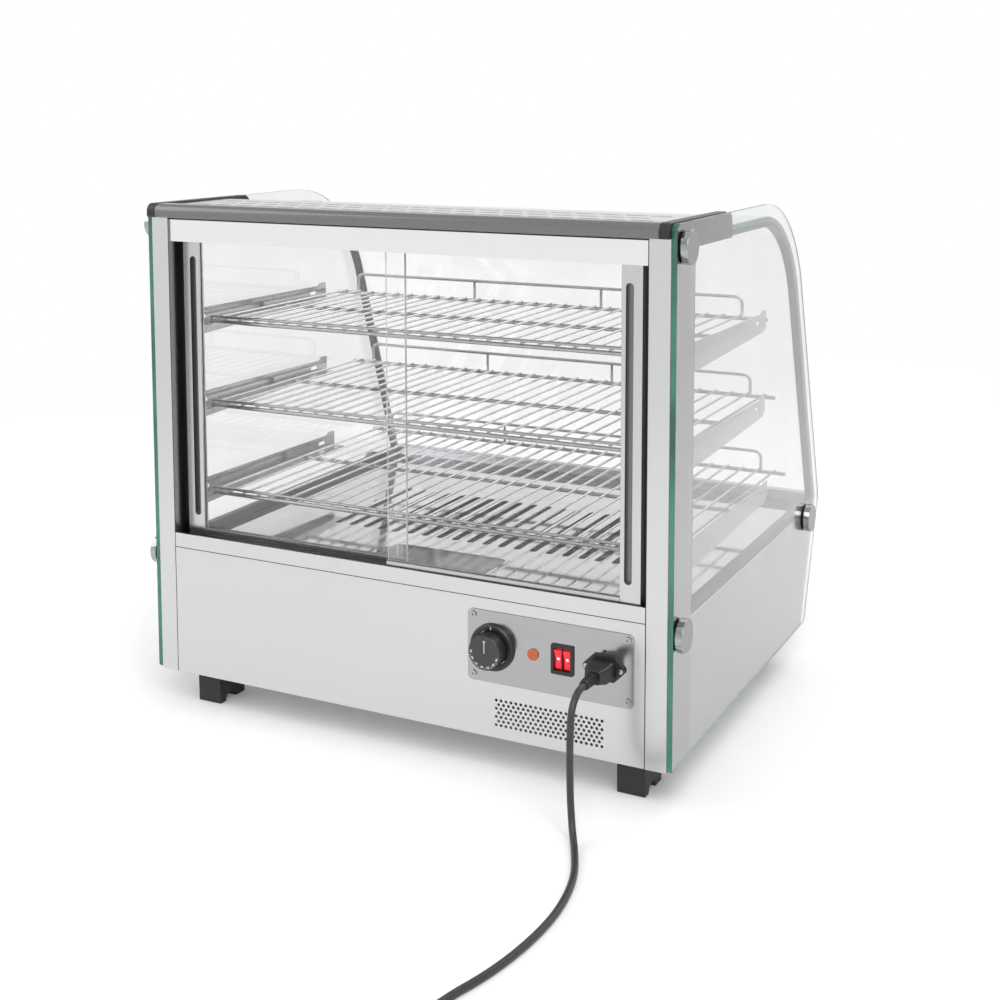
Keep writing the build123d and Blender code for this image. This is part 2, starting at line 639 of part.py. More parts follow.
def make_inlet():
    """Appliance inlet, and the connector plugged into it."""
    with BuildPart() as inlet:
        with BuildSketch(Plane.XZ.offset(-REAR_Y - PLATE_T - 3.5)):
            outline([
                (INLET_X - 26, CONTROL_Z, 5), (INLET_X - 12, CONTROL_Z - 14, 3), (INLET_X + 12, CONTROL_Z - 14, 3),
                (INLET_X + 26, CONTROL_Z, 5), (INLET_X + 12, CONTROL_Z + 14, 3), (INLET_X - 12, CONTROL_Z + 14, 3),
            ])
        extrude(amount=3.5)
        block(INLET_X - 13.8, INLET_X + 13.8, -PLATE_T, 20, CONTROL_Z - 10.2, CONTROL_Z + 10.2)
        block(INLET_X - 12.2, INLET_X + 12.2, -PLATE_T - 3.5, 13, CONTROL_Z - 8.2, CONTROL_Z + 8.2, Mode.SUBTRACT)
        for x in (INLET_X - 20, INLET_X + 20):
            turned(x, -PLATE_T - 3.5, -PLATE_T, 2.0, CONTROL_Z, Mode.SUBTRACT)
    save(inlet, "inlet")

    exit_depth = REAR_Y - CORD_EXIT_Y
    with BuildPart() as connector:
        block(INLET_X - 12, INLET_X + 12, -PLATE_T - 5, 12, CONTROL_Z - 8, CONTROL_Z + 8)
        grip = [(-5.0, 28, 20), (-22.0, 27, 19), (-34.0, 18, 14)]
        for depth, width, height in grip:
            with BuildSketch(Plane.XZ.offset(depth - REAR_Y)):
                with Locations((INLET_X, CONTROL_Z)):
                    RectangleRounded(width, height, 4)
        loft(ruled=True)
        turned(INLET_X, exit_depth, -34, 5.2, CONTROL_Z)
        for n in range(5):
            turned(INLET_X, -37.5 - 4 * n, -35.5 - 4 * n, 6.6 - 0.2 * n, CONTROL_Z)
    save(connector, "connector")


# The cord's route: points of the free tail, from the connector to the coil
TABLE_Z = CORD_D / 2 + 0.1
COIL_X = -330.0
COIL_Y = REAR_Y + 455.0
COIL_PITCH = 8.3
COIL_OUTER_R = 51.0
COIL_LAYER = 8.3
INWARD_HALVES = 5
OUTWARD_HALVES = 4


def tail_points():
    """Corners of the free tail's runs, from the connector down and along the table."""
    x, y, z = INLET_X, CORD_EXIT_Y, CONTROL_Z
    return [
        (x, y, z), (x, y + 11, z), (x, y + 21, z - 4.5), (x, y + 28.5, z - 12), (x, y + 33, z - 23),
        (x + 0.5, y + 34, z - 62), (x, y + 33, z - 104), (x - 1.5, y + 34, z - 121),
        (x - 4.5, y + 38.5, z - 133.5), (x - 9, y + 45.5, z - 142), (x - 15, y + 56, TABLE_Z),
        (x - 37, y + 104, TABLE_Z), (x - 48, y + 160, TABLE_Z), (x - 48, y + 216, TABLE_Z),
        (x - 38, y + 282, TABLE_Z), (COIL_X + COIL_OUTER_R, y + 345, TABLE_Z),
        (COIL_X + COIL_OUTER_R, COIL_Y - CORD_D, TABLE_Z),
    ]


def corner_radii(points):
    """Bend radius at each inner corner, from the shorter run beside it and its turn."""
    radii = []
    for before, corner, after in zip(points, points[1:], points[2:]):
        into, out = Vector(corner) - Vector(before), Vector(after) - Vector(corner)
        half_turn = math.radians(into.get_angle(out)) / 2
        radii.append(0.45 * min(into.length, out.length) / math.tan(half_turn))
    return radii


def spiral_halves(start, radius, step, count, direction):
    """Half circles in the plane, each smaller or larger than the last by step."""
    arcs = []
    here = start
    for _ in range(count):
        centre = here + Vector(-direction * radius, 0, 0)
        far = centre + Vector(-direction * radius, 0, 0)
        top = centre + Vector(0, direction * radius, 0)
        arcs.append((here, top, far))
        here = far
        direction = -direction
        radius += step
    return arcs, here, radius, direction


def coil_route():
    """Arcs of the coil: a spiral in, one climbing half turn, and a spiral out on top."""
    start = Vector(COIL_X + COIL_OUTER_R, COIL_Y, TABLE_Z)
    half_step = COIL_PITCH / 2
    arcs, here, radius, direction = spiral_halves(start, COIL_OUTER_R, -half_step, INWARD_HALVES, 1)
    climb_r = math.hypot(radius, COIL_LAYER / 2)
    middle = here + Vector(-direction * radius, direction * climb_r, COIL_LAYER / 2)
    end = here + Vector(-2 * direction * radius, 0, COIL_LAYER)
    arcs += quarter_arcs(here, middle, end, direction * climb_r)
    outward, here, radius, direction = spiral_halves(
        end, radius + half_step, half_step, OUTWARD_HALVES, -direction
    )
    return arcs + outward, here, direction


def quarter_arcs(start, middle, end, reach):
    """The two quarter circles of a climbing half turn, as (start, through, end)."""
    root = math.sqrt(0.5)
    first_centre = Vector(middle.X, start.Y, middle.Z)
    through = []
    for outer in (start, end):
        spoke = outer - first_centre
        through.append(first_centre + spoke * root + Vector(0, reach * root, 0))
    return [(start, through[0], middle), (middle, through[1], end)]


def least_gap(samples, diameter):
    """Least distance between turns of a tube sampled every millimetre, less its diameter."""
    least = math.inf
    skip = int(4 * diameter)
    places = [(point.X, point.Y, point.Z) for point in samples]
    for i, first in enumerate(places):
        for second in places[i + skip:]:
            least = min(least, math.dist(first, second))
    return least - diameter


def make_cord():
    """The cord's free tail, its put-away coil and the mains plug."""
    points = tail_points()
    radii = corner_radii(points)
    with BuildPart() as cord_tail:
        with BuildLine() as route:
            FilletPolyline(*points, radius=radii)
        with BuildSketch(Plane(origin=route.line @ 0, z_dir=route.line % 0)):
            Circle(CORD_D / 2)
        sweep()
    save(cord_tail, "cord_tail")
    tail_length = route.wires()[0].length
    ratio = cord_tail.part.volume / (tail_length * math.pi * CORD_D**2 / 4)
    print("tail radii", [round(radius, 1) for radius in radii])
    print("tail length", round(tail_length, 1), "volume ratio", round(ratio, 4))

    arcs, end, direction = coil_route()
    lead_in = Vector(COIL_X + COIL_OUTER_R, COIL_Y - CORD_D, TABLE_Z)
    lead_out = end + Vector(0, direction * CORD_D, 0)
    with BuildPart() as cord_coil:
        with BuildLine() as turns:
            Line(lead_in, arcs[0][0])
            for start, through, finish in arcs:
                ThreePointArc(start, through, finish)
            Line(end, lead_out)
        with BuildSketch(Plane(origin=lead_in, z_dir=(0, 1, 0))):
            Circle(CORD_D / 2)
        sweep()
    save(cord_coil, "cord_coil")
    centre_line = turns.wires()[0]
    coil_length = centre_line.length
    count = int(coil_length)
    samples = [centre_line.position_at(n / count) for n in range(count + 1)]
    print("coil length", round(coil_length, 1), "least gap", round(least_gap(samples, CORD_D), 2))
    print("cord total", round(tail_length + coil_length, 1), "of", CORD_TOTAL)
    make_mains_plug(lead_out, direction)


def make_mains_plug(end, direction):
    """Two-pin earthed mains plug at the coil's end, lying flat on its side."""
    axis = Vector(0, direction, 0)

    def step(offset, radius, length):
        with BuildSketch(Plane(origin=end + axis * offset, z_dir=axis)) as profile:
            Circle(radius)
        extrude(profile.sketch, amount=length)

    with BuildPart() as mains_plug:
        step(0, 4.2, 38)
        step(38, 10.5, 16)
        step(54, 11.9, 12)
        for x in (-9.5, 9.5):
            with BuildSketch(Plane(origin=end + axis * 66 + Vector(x, 0, 0), z_dir=axis)):
                Circle(2.3)
            extrude(amount=19)
    save(mains_plug, "mains_plug")


def main():
    """Build every sub-part and write its file."""
    make_feet()
    make_base()
    make_deck()
    make_heating()
    make_posts()
    make_side_frames()
    make_glasses()
    make_top()
    make_tracks()
    for name in DOOR_DEPTHS:
        make_door(name)
    make_shelves()
    make_control_plate()
    make_thermostat()
    make_lamp_and_switch()
    make_inlet()
    make_cord()


main()
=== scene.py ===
"""Looks of a counter-top heated pastry display cabinet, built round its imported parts.

Everything is in metres in the parts' own frame: X runs across the cabinet, the
customer's curved glass faces -Y, the operator's doors and controls face +Y, and
Z is up from the table. Sizes that are named in millimetres are turned by MM.
"""

import json
import logging
import math
from collections.abc import Callable, Iterable
from dataclasses import dataclass, field
from enum import Enum

import bmesh
import bpy
from bmesh.types import BMesh, BMFace
from bpy.types import Material, Node, NodeSocket, NodeTree, Object
from mathutils import Matrix, Vector

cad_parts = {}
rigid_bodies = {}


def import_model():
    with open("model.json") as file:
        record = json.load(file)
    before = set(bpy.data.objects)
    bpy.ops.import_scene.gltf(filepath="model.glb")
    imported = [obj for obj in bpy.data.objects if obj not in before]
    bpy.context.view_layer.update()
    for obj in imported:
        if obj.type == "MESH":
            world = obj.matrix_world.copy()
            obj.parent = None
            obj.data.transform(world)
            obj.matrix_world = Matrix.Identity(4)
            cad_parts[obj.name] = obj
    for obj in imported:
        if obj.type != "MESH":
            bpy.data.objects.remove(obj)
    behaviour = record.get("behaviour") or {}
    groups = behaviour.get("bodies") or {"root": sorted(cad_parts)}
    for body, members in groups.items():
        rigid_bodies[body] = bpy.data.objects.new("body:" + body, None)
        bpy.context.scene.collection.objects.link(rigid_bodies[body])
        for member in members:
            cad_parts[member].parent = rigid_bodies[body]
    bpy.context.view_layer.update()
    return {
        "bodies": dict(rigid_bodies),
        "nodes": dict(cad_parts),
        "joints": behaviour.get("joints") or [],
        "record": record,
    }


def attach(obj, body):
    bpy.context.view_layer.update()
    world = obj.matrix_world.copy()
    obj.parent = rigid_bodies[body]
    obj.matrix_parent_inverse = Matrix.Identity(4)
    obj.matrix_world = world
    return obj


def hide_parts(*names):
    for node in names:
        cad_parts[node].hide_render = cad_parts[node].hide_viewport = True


LOG = logging.getLogger("cabinet")

MM = 0.001
REAR_Y = 0.2773

# Smooth noise keeps mostly between these two values
NOISE_LOW = 0.3
NOISE_HIGH = 0.7
# Points of a mesh closer than these are one point
SAME_POINT = 1e-6
SAME_CORNER = 2e-6
# Faces that lean less than this make one face, and edges sharper than these are rounded or stay crisp
FLAT_DEG = 0.4
ROUNDED_DEG = 40.0
CRISP_DEG = 32.0

Triple = tuple[float, float, float]


class Side(Enum):
    """Side of the cabinet, as the operator sees it; the value is the sign of X."""

    LEFT = 1
    RIGHT = -1

    @property
    def word(self) -> str:
        """The side's word in the parts' names."""
        return self.name.lower()


class Grain(Enum):
    """Direction in which a sheet was brushed; the value stretches the grain along X, Y and Z."""

    ACROSS = (90.0, 1.0, 1.0)
    DEEP = (1.0, 90.0, 1.0)
    UPRIGHT = (1.0, 1.0, 90.0)
    EVEN = (1.0, 1.0, 1.0)


def linear(code: str, alpha: float = 1.0) -> tuple[float, float, float, float]:
    """Turn an sRGB hex colour into the linear values that sockets take.

    Args:
        code: the colour as "#RRGGBB".
        alpha: the fourth value.

    Returns:
        Red, green, blue and alpha.
    """
    values = [int(code[i : i + 2], 16) / 255 for i in (1, 3, 5)]
    red, green, blue = (v / 12.92 if v <= 0.04045 else ((v + 0.055) / 1.055) ** 2.4 for v in values)
    return red, green, blue, alpha


def add_node(tree: NodeTree, kind: str, inputs: dict | None = None, **settings) -> Node:
    """Add a node with its settings and links.

    Args:
        tree: the node tree to add to.
        kind: Blender's name for the node's type.
        inputs: for each input's name or number, a value, or a socket to link.
        **settings: the node's own properties.

    Returns:
        The new node.
    """
    made = tree.nodes.new(kind)
    for key, value in settings.items():
        setattr(made, key, value)
    for key, value in (inputs or {}).items():
        if isinstance(value, NodeSocket):
            tree.links.new(value, made.inputs[key])
        else:
            made.inputs[key].default_value = value
    return made


def streaks(tree: NodeTree, size_mm: Triple, detail: float = 2.0) -> NodeSocket:
    """Soft random pattern whose features have this size.

    Args:
        tree: the material's node tree.
        size_mm: the features' size along X, Y and Z.
        detail: how many finer layers lie over them.

    Returns:
        A value about 0.5, mostly between NOISE_LOW and NOISE_HIGH.
    """
    coords = add_node(tree, "ShaderNodeTexCoord").outputs["Object"]
    spread = add_node(
        tree, "ShaderNodeMapping", {"Vector": coords, "Scale": tuple(1000 / size for size in size_mm)}
    )
    noise = add_node(
        tree, "ShaderNodeTexNoise", {"Vector": spread.outputs["Vector"], "Scale": 1.0, "Detail": detail}
    )
    return noise.outputs["Fac"]


def between(tree: NodeTree, value: NodeSocket, low: float, high: float) -> NodeSocket:
    """Spread a pattern's usual values over low to high."""
    spread = add_node(
        tree,
        "ShaderNodeMapRange",
        {"Value": value, "From Min": NOISE_LOW, "From Max": NOISE_HIGH, "To Min": low, "To Max": high},
    )
    return spread.outputs["Result"]


def tones(tree: NodeTree, value: NodeSocket, stops: dict[float, str]) -> NodeSocket:
    """Colour a pattern.

    Args:
        tree: the material's node tree.
        value: the pattern.
        stops: hex colours by the pattern's value, in rising order.

    Returns:
        The colour socket.
    """
    ramp = add_node(tree, "ShaderNodeValToRGB", {"Fac": value})
    elements = ramp.color_ramp.elements
    while len(elements) < len(stops):
        elements.new(0.5)
    for element, (place, code) in zip(elements, stops.items()):
        element.position = place
        element.color = linear(code)
    return ramp.outputs["Color"]


@dataclass(frozen=True)
class Finish:
    """A surface as it is made: its name and its two nearly equal tones."""

    name: str
    dark: str
    light: str

    def build(self) -> Material:
        """Make the material."""
        material = bpy.data.materials.new(self.name)
        material.use_nodes = True
        tree = material.node_tree
        tree.nodes.clear()
        add_node(tree, "ShaderNodeOutputMaterial", {"Surface": self.shade(tree)})
        return material

    def shade(self, tree: NodeTree) -> NodeSocket:
        """Add the surface's nodes and return its shader."""
        raise NotImplementedError


@dataclass(frozen=True)
class BrushedMetal(Finish):
    """Sheet or bar ground with an abrasive belt: fine parallel lines that blur reflections.

    A real line is about 0.1 mm wide. It is drawn 0.4 mm wide, coarse enough to show in a
    close view, and at the picture's scale it blurs to satin as the real one does.
    """

    grain: Grain = Grain.ACROSS
    line_mm: float = 0.4
    low_rough: float = 0.22
    high_rough: float = 0.25
    depth_mm: float = 0.0004

    def shade(self, tree: NodeTree) -> NodeSocket:
        """Lines in colour, roughness and height, over faint broad unevenness of the sheet."""
        lines = streaks(tree, tuple(self.line_mm * stretch for stretch in self.grain.value))
        sheet = streaks(tree, (140.0, 140.0, 140.0), detail=1.0)
        height = add_node(
            tree, "ShaderNodeMath", {0: lines, 1: between(tree, sheet, 0.0, 0.25)}, operation="ADD"
        )
        bump = add_node(
            tree,
            "ShaderNodeBump",
            {"Height": height.outputs["Value"], "Strength": 0.5, "Distance": self.depth_mm * MM},
        )
        shader = add_node(
            tree,
            "ShaderNodeBsdfPrincipled",
            {
                "Base Color": tones(tree, lines, {NOISE_LOW: self.dark, NOISE_HIGH: self.light}),
                "Metallic": 1.0,
                "Roughness": between(tree, lines, self.low_rough, self.high_rough),
                "Normal": bump.outputs["Normal"],
            },
        )
        return shader.outputs["BSDF"]


@dataclass(frozen=True)
class PolishedMetal(Finish):
    """Buffed or plated metal: mirror-like, with faint wiping marks in its gloss."""

    low_rough: float = 0.03
    high_rough: float = 0.10
    mark_mm: float = 30.0

    def shade(self, tree: NodeTree) -> NodeSocket:
        """Wiping marks in roughness and, barely, in colour."""
        marks = streaks(tree, (self.mark_mm, self.mark_mm * 0.4, self.mark_mm), detail=4.0)
        shader = add_node(
            tree,
            "ShaderNodeBsdfPrincipled",
            {
                "Base Color": tones(tree, marks, {NOISE_LOW: self.dark, NOISE_HIGH: self.light}),
                "Metallic": 1.0,
                "Roughness": between(tree, marks, self.low_rough, self.high_rough),
            },
        )
        return shader.outputs["BSDF"]


@dataclass(frozen=True)
class Coating(Finish):
    """Paint, powder or moulded polymer: a dielectric skin with a fine even grain."""

    rough: float = 0.45
    grain_mm: float = 1.1
    depth_mm: float = 0.03
    metallic: float = 0.0
    coat: float = 0.0

    def shade(self, tree: NodeTree) -> NodeSocket:
        """Grain in colour, gloss and height."""
        grain = streaks(tree, (self.grain_mm,) * 3, detail=3.0)
        bump = add_node(
            tree, "ShaderNodeBump", {"Height": grain, "Strength": 0.6, "Distance": self.depth_mm * MM}
        )
        shader = add_node(
            tree,
            "ShaderNodeBsdfPrincipled",
            {
                "Base Color": tones(tree, grain, {NOISE_LOW: self.dark, NOISE_HIGH: self.light}),
                "Metallic": self.metallic,
                "Roughness": between(tree, grain, self.rough - 0.06, self.rough + 0.06),
                "Coat Weight": self.coat,
                "Coat Roughness": 0.15,
                "Normal": bump.outputs["Normal"],
            },
        )
        return shader.outputs["BSDF"]


@dataclass(frozen=True)
class ToughenedGlass(Finish):
    """Float glass, heat toughened: clear, with faint smears of cleaning in its gloss."""

    def shade(self, tree: NodeTree) -> NodeSocket:
        """Glass that bends light and lets lamps through to what is behind it."""
        smears = streaks(tree, (60.0, 60.0, 160.0), detail=3.0)
        tint = tones(tree, smears, {NOISE_LOW: self.dark, NOISE_HIGH: self.light})
        body = add_node(
            tree,
            "ShaderNodeBsdfPrincipled",
            {
                "Base Color": tint,
                "Roughness": between(tree, smears, 0.0, 0.012),
                "IOR": 1.5,
                "Transmission Weight": 1.0,
            },
        )
        clear = add_node(tree, "ShaderNodeBsdfTransparent", {"Color": linear(self.light)})
        lamp = add_node(tree, "ShaderNodeLightPath").outputs["Is Shadow Ray"]
        mixed = add_node(
            tree, "ShaderNodeMixShader", {0: lamp, 1: body.outputs["BSDF"], 2: clear.outputs["BSDF"]}
        )
        return mixed.outputs["Shader"]


@dataclass(frozen=True)
class LitPolymer(Finish):
    """Translucent coloured polymer with a little light of its own, or the colour's own depth."""

    glow: str = "#000000"
    strength: float = 0.0
    through: float = 0.25
    cloud_mm: float = 2.4

    def shade(self, tree: NodeTree) -> NodeSocket:
        """Glossy skin over a cloudy coloured body."""
        cloud = streaks(tree, (self.cloud_mm,) * 3)
        shader = add_node(
            tree,
            "ShaderNodeBsdfPrincipled",
            {
                "Base Color": tones(tree, cloud, {NOISE_LOW: self.dark, NOISE_HIGH: self.light}),
                "Roughness": between(tree, cloud, 0.12, 0.2),
                "IOR": 1.58,
                "Transmission Weight": self.through,
                "Emission Color": linear(self.glow),
                "Emission Strength": self.strength,
            },
        )
        return shader.outputs["BSDF"]


class Finishes:
    """Every finish on the cabinet."""

    # Type 430 stainless sheet, belt-ground: pale neutral grey with lines along the rolling direction
    SHEET_ACROSS = BrushedMetal("stainless steel sheet, ground across", "#CDCECE", "#D1D1D1")
    SHEET_UPRIGHT = BrushedMetal(
        "stainless steel sheet, ground upright", "#CDCECE", "#D1D1D1", grain=Grain.UPRIGHT
    )
    # The side panels' copy of the sheet is darker than the rest: its lengthways grain is real, its darker
    # tone is painted shade for the darker surroundings that the sides mirror
    SHEET_DEEP = BrushedMetal(
        "stainless steel sheet, ground lengthways", "#BABABA", "#BDBDBD", grain=Grain.DEEP
    )
    # The doors' header is the same sheet with a painted highlight, a lighter tone that stands for the
    # reflection on it, and the posts' sides are the same sheet with painted shade, a darker tone than their
    # faces
    SHEET_BRIGHT = BrushedMetal("stainless steel sheet, bright", "#E9E9E9", "#ECECEC")
    POST_SIDE = BrushedMetal(
        "stainless steel sheet, ground upright, dull", "#A0A1A1", "#A4A4A4", grain=Grain.UPRIGHT
    )
    # The control plate is finer ground, and mirrors what is on it
    PLATE = BrushedMetal(
        "stainless steel plate, fine ground", "#A8A8A8", "#ADADAD", low_rough=0.12, high_rough=0.19
    )
    # Pressed from the bright side of the sheet, so glossier than the panels
    BRACKET = BrushedMetal(
        "stainless steel bracket, pressed",
        "#B2B3B3",
        "#B7B8B8",
        grain=Grain.DEEP,
        line_mm=0.6,
        low_rough=0.14,
        high_rough=0.18,
    )
    # Bright-annealed deck: a mirror with wiping marks
    DECK = PolishedMetal(
        "stainless steel, mirror polished",
        "#D8D9D9",
        "#E2E3E3",
        low_rough=0.03,
        high_rough=0.09,
        mark_mm=45.0,
    )
    # Extruded, satin anodised aluminium: softer in its gloss than the sheet, with die lines lengthways. Its
    # grey is partly the anodised metal's own and partly painted shade, darker than the metal, for where the
    # bars and fins stand behind the glass, the posts and the doors
    BAR = BrushedMetal(
        "aluminium extrusion, satin anodised",
        "#606162",
        "#646566",
        grain=Grain.DEEP,
        line_mm=0.6,
        low_rough=0.34,
        high_rough=0.38,
        depth_mm=0.001,
    )
    HANDLE = BrushedMetal(
        "aluminium door profile, anodised",
        "#C6C7C8",
        "#CACBCC",
        grain=Grain.UPRIGHT,
        line_mm=0.6,
        low_rough=0.22,
        high_rough=0.26,
        depth_mm=0.001,
    )
    # The handle's own anodised aluminium, darker inside its finger groove: painted shade in the recess
    GROOVE = BrushedMetal(
        "aluminium door profile, inside the groove",
        "#747576",
        "#787979",
        grain=Grain.UPRIGHT,
        line_mm=0.6,
        low_rough=0.3,
        high_rough=0.34,
        depth_mm=0.001,
    )
    RAIL = BrushedMetal(
        "aluminium rail, anodised",
        "#BABBBC",
        "#BEBFC0",
        line_mm=0.6,
        low_rough=0.24,
        high_rough=0.28,
        depth_mm=0.001,
    )
    # Roll-formed rail in satin grey enamel
    NOSE = Coating(
        "steel rail, grey enamel",
        "#6E6F70",
        "#717273",
        rough=0.3,
        grain_mm=0.9,
        depth_mm=0.001,
        metallic=0.6,
        coat=0.3,
    )
    # ABS mouldings with an eroded-steel texture
    ABS = Coating("ABS, moulded black", "#191919", "#202020", rough=0.42)
    CAP_FACE = Coating("ABS, knob face", "#303030", "#373737", rough=0.38, grain_mm=0.9, depth_mm=0.02)
    # Feet moulded in polyamide, matt and slightly coarser
    FOOT = Coating(
        "polyamide foot, moulded black", "#1C1C1C", "#262626", rough=0.55, grain_mm=1.4, depth_mm=0.05
    )
    # Cable sheath and moulded-on fittings: soft PVC with a dull sheen
    SHEATH = Coating("PVC cable sheath", "#2A2A2B", "#333334", rough=0.4, grain_mm=1.0, depth_mm=0.02)
    FITTING = Coating(
        "PVC, moulded connector", "#1A1A1A", "#222222", rough=0.36, grain_mm=1.2, depth_mm=0.03
    )
    # Bright chrome on drawn wire and turned parts
    CHROME = PolishedMetal(
        "chrome-plated steel wire", "#A9AAAC", "#B6B7B9", low_rough=0.06, high_rough=0.14, mark_mm=12.0
    )
    KNOB_SIDE = PolishedMetal(
        "chrome-plated brass, polished", "#9FA0A2", "#AEB0B1", low_rough=0.05, high_rough=0.12, mark_mm=8.0
    )
    KNOB_FACE = BrushedMetal(
        "chrome-plated brass, satin face",
        "#909192",
        "#979899",
        grain=Grain.EVEN,
        line_mm=0.9,
        low_rough=0.26,
        high_rough=0.34,
        depth_mm=0.003,
    )
    SCREW = PolishedMetal(
        "zinc-plated screw", "#A2A3A4", "#BCBDBE", low_rough=0.12, high_rough=0.22, mark_mm=2.0
    )
    # Heater sheath dulled brown-grey by its own heat
    ELEMENT = Coating(
        "nickel-alloy heater sheath, heat-dulled",
        "#5D5854",
        "#6E6863",
        rough=0.5,
        grain_mm=3.0,
        depth_mm=0.02,
        metallic=0.8,
    )
    # Toughened float glass: nearly clear in its faces, green in its ground edges
    GLASS = ToughenedGlass("toughened glass, face", "#FBFBFC", "#FEFEFE")
    SIDE_GLASS = ToughenedGlass("toughened glass, side face", "#EEEEEF", "#F2F2F2")
    GLASS_EDGE = LitPolymer("toughened glass, ground edge", "#245D4C", "#46937C", through=0.3, cloud_mm=90.0)
    PANE_EDGE = LitPolymer(
        "thin toughened glass, ground edge", "#A9B4B0", "#D5DBD9", through=0.4, cloud_mm=60.0
    )
    # Lit polycarbonate: its own light is faint next to the room's
    LAMP = LitPolymer(
        "polycarbonate lens, amber", "#A94E22", "#C25F2C", glow="#C25F2C", strength=0.12, through=0.2
    )
    ROCKER = LitPolymer(
        "polycarbonate rocker, lit red", "#C80A22", "#DC1630", glow="#E8142C", strength=0.45, through=0.15
    )
    GLOW = LitPolymer("neon lamp's spot", "#FFB9B4", "#FFD9D2", glow="#FFC8C0", strength=1.0, through=0.0)
    PRINT = Coating("pad-printed white ink", "#DADADA", "#E6E6E6", rough=0.5, grain_mm=0.6, depth_mm=0.005)
    # EPDM rubber, dull black: real on the knobs' washers and studs, and painted shadow as the dark strip
    # under the bull-nose
    SEAL = Coating("EPDM sealing strip", "#232323", "#2B2B2B", rough=0.6, grain_mm=0.9, depth_mm=0.02)
    SHADOW_GAP = Coating(
        "dark inside of a joint", "#0C0C0C", "#101010", rough=0.8, grain_mm=1.0, depth_mm=0.0
    )


def operator_face(x_mm: float, z_mm: float, proud_mm: float) -> Matrix:
    """Place for something on the operator's side.

    Args:
        x_mm: where it is across the cabinet.
        z_mm: its height.
        proud_mm: how far it stands off the rear face.

    Returns:
        A matrix whose X is the operator's right, Y is up and Z points at the operator.
    """
    turn = Matrix(((-1, 0, 0, 0), (0, 0, 1, 0), (0, 1, 0, 0), (0, 0, 0, 1)))
    return Matrix.Translation((x_mm * MM, REAR_Y + proud_mm * MM, z_mm * MM)) @ turn


def lathe(profile_mm: Iterable[tuple[float, float]], place: Matrix, steps: int = 48) -> BMesh:
    """Spin a profile about the placed Z axis.

    Args:
        profile_mm: (radius, height) pairs; a radius of 0 closes an end.
        place: where the spun shape goes.
        steps: segments round.

    Returns:
        The spun mesh, normals outwards.
    """
    shape = bmesh.new()
    ring = [shape.verts.new((radius * MM, 0, height * MM)) for radius, height in profile_mm]
    chain = [shape.edges.new(pair) for pair in zip(ring, ring[1:])]
    bmesh.ops.spin(
        shape, geom=ring + chain, cent=(0, 0, 0), axis=(0, 0, 1), angle=math.tau, steps=steps, use_merge=True
    )
    bmesh.ops.remove_doubles(shape, verts=shape.verts, dist=SAME_POINT)
    bmesh.ops.recalc_face_normals(shape, faces=shape.faces)
    shape.transform(place)
    return shape


def slab(size_mm: Triple, place: Matrix, round_mm: float = 0.0, segments: int = 2) -> BMesh:
    """Block with rounded edges, centred on its place.

    Args:
        size_mm: its size along the place's axes.
        place: where it goes.
        round_mm: radius of every edge.
        segments: faces across each rounding.

    Returns:
        The block's mesh.
    """
    shape = bmesh.new()
    bmesh.ops.create_cube(shape, size=1.0)
    shape.transform(Matrix.Diagonal((*(length * MM for length in size_mm), 1.0)))
    if round_mm:
        bmesh.ops.bevel(
            shape,
            geom=list(shape.edges),
            offset=round_mm * MM,
            offset_type="OFFSET",
            segments=segments,
            profile=0.5,
            affect="EDGES",
            material=-1,
        )
    shape.transform(place)
    return shape


def numeral(text: str, height_mm: float, place: Matrix) -> BMesh:
    """Thin raised number, as a pad-printed ink film.

    Args:
        text: the number's digits.
        height_mm: the font's size.
        place: the digits' centre, with X to their right and Y up.

    Returns:
        The digits' mesh.
    """
    letters = bpy.data.curves.new("digits", "FONT")
    letters.body = text
    letters.size = height_mm * MM
    letters.align_x = "CENTER"
    letters.align_y = "CENTER"
    letters.extrude = 0.05 * MM
    letters.resolution_u = 3
    holder = bpy.data.objects.new("digits", letters)
    mesh = bpy.data.meshes.new_from_object(holder)
    shape = bmesh.new()
    shape.from_mesh(mesh)
    bmesh.ops.remove_doubles(shape, verts=shape.verts, dist=SAME_POINT)
    bpy.data.objects.remove(holder)
    bpy.data.curves.remove(letters)
    bpy.data.meshes.remove(mesh)
    shape.transform(place)
    return shape


def gather(shapes: Iterable[BMesh]) -> BMesh:
    """Join several meshes into one and free them."""
    whole = bmesh.new()
    for shape in shapes:
        part = bpy.data.meshes.new("part")
        shape.to_mesh(part)
        shape.free()
        whole.from_mesh(part)
        bpy.data.meshes.remove(part)
    return whole


